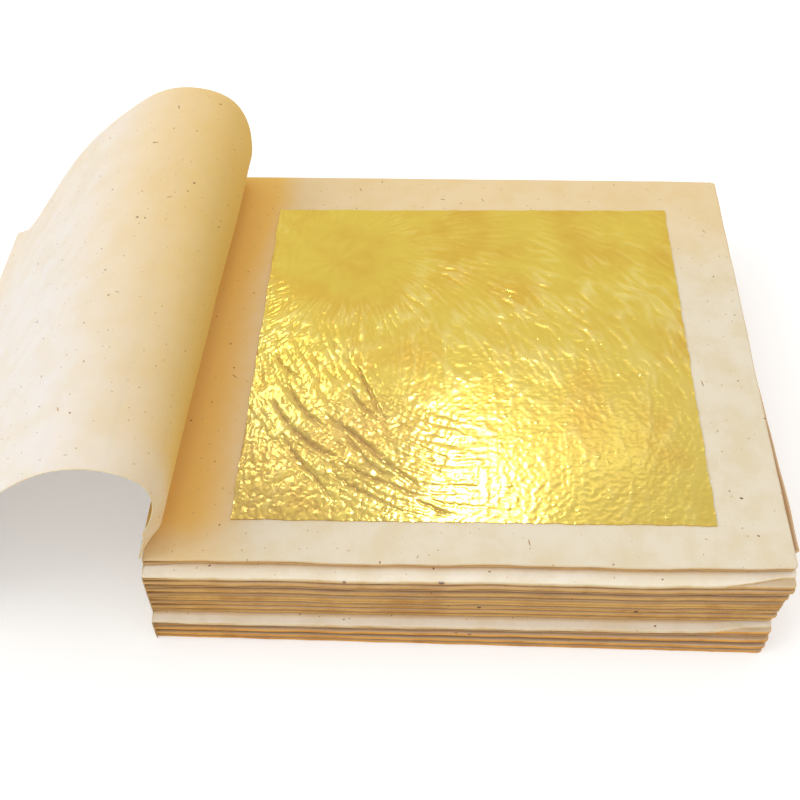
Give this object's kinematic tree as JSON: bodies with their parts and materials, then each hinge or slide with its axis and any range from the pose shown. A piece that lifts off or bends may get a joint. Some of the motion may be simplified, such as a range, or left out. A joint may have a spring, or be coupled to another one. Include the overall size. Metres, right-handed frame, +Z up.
{
  "type": "gold leaf booklet",
  "caption": "Pasted pad of soft paper sheets holding square gold leaves, with its first page turned back in a soft curl and the first leaf lying open.",
  "frame": {"origin": "middle of the pad's underside, halfway across the full sheet width and depth", "axes": "+X from the pasted edge to the free edge, +Y from front to back, +Z up through the pad"},
  "size_m": [0.1827, 0.1187, 0.0498],
  "materials": {
    "paper": "soft, uncalendered, with brown fibre flecks",
    "gold_leaf": "bright beaten gold leaf, finely crumpled",
    "paste": "dried starch paste on paper ends"
  },
  "bodies": {
    "pad": {"spine_paste": "paste", "sheet_02": "paper", "sheet_03": "paper", "sheet_04": "paper", "sheet_05": "paper", "sheet_06": "paper", "sheet_07": "paper", "sheet_08": "paper", "sheet_09": "paper", "sheet_10": "paper", "sheet_11": "paper", "sheet_12": "paper", "sheet_13": "paper", "sheet_14": "paper", "sheet_15": "paper", "sheet_16": "paper", "sheet_17": "paper", "sheet_18": "paper", "sheet_19": "paper", "sheet_20": "paper", "sheet_21": "paper", "sheet_22": "paper", "sheet_23": "paper", "sheet_24": "paper", "sheet_25": "paper", "sheet_26": "paper", "gold_leaf_02": "gold_leaf", "gold_leaf_03": "gold_leaf", "gold_leaf_04": "gold_leaf", "gold_leaf_05": "gold_leaf", "gold_leaf_06": "gold_leaf", "gold_leaf_07": "gold_leaf", "gold_leaf_08": "gold_leaf", "gold_leaf_09": "gold_leaf", "gold_leaf_10": "gold_leaf", "gold_leaf_11": "gold_leaf", "gold_leaf_12": "gold_leaf", "gold_leaf_13": "gold_leaf", "gold_leaf_14": "gold_leaf", "gold_leaf_15": "gold_leaf", "gold_leaf_16": "gold_leaf", "gold_leaf_17": "gold_leaf", "gold_leaf_18": "gold_leaf", "gold_leaf_19": "gold_leaf", "gold_leaf_20": "gold_leaf", "gold_leaf_21": "gold_leaf", "gold_leaf_22": "gold_leaf", "gold_leaf_23": "gold_leaf", "gold_leaf_24": "gold_leaf", "gold_leaf_25": "gold_leaf"},
    "page_1": {"turned_page_1": "paper"},
    "page_2": {"turned_page_2": "paper"},
    "page_3": {"turned_page_3": "paper"},
    "page_4": {"turned_page_4": "paper"},
    "page_5": {"turned_page_5": "paper"},
    "page_6": {"turned_page_6": "paper"},
    "page_7": {"turned_page_7": "paper"},
    "page_8": {"turned_page_8": "paper"},
    "top_leaf": {"gold_leaf_01": "gold_leaf"}
  },
  "joints": [
    {"name": "page_turn", "type": "hinge", "parent": "pad", "child": "page_1", "pos_m": [-0.06065, 0, 0.0212], "axis": [0, 1, 0], "range_deg": [0, 25]},
    {"name": "page_fold_1", "type": "hinge", "parent": "page_1", "child": "page_2", "pos_m": [-0.05255, 0, 0.02498], "axis": [0, 1, 0], "range_deg": [0, 60]},
    {"name": "page_fold_2", "type": "hinge", "parent": "page_2", "child": "page_3", "pos_m": [-0.05143, 0, 0.03775], "axis": [0, 1, 0], "range_deg": [0, 30]},
    {"name": "page_fold_3", "type": "hinge", "parent": "page_3", "child": "page_4", "pos_m": [-0.05575, 0, 0.04703], "axis": [0, 1, 0], "range_deg": [0, 54]},
    {"name": "page_fold_4", "type": "hinge", "parent": "page_4", "child": "page_5", "pos_m": [-0.06927, 0, 0.04966], "axis": [0, 1, 0], "range_deg": [0, 39]},
    {"name": "page_fold_5", "type": "hinge", "parent": "page_5", "child": "page_6", "pos_m": [-0.08111, 0, 0.04336], "axis": [0, 1, 0], "range_deg": [0, 14.01]},
    {"name": "page_fold_6", "type": "hinge", "parent": "page_6", "child": "page_7", "pos_m": [-0.09807, 0, 0.02809], "axis": [0, 1, 0], "range_deg": [0, 7.01]},
    {"name": "page_fold_7", "type": "hinge", "parent": "page_7", "child": "page_8", "pos_m": [-0.10957, 0, 0.01486], "axis": [0, 1, 0], "range_deg": [0, 4.74]},
    {"name": "leaf_lift", "type": "slide", "parent": "pad", "child": "top_leaf", "axis": [0, 0, 1], "range_m": [0, 0.06]}
  ],
  "couplings": [
    {"joint": "page_fold_1", "follows": "page_turn", "ratio": 2.4},
    {"joint": "page_fold_2", "follows": "page_turn", "ratio": 1.2},
    {"joint": "page_fold_3", "follows": "page_turn", "ratio": 2.16},
    {"joint": "page_fold_4", "follows": "page_turn", "ratio": 1.56},
    {"joint": "page_fold_5", "follows": "page_turn", "ratio": 0.56},
    {"joint": "page_fold_6", "follows": "page_turn", "ratio": 0.28},
    {"joint": "page_fold_7", "follows": "page_turn", "ratio": 0.18932}
  ]
}
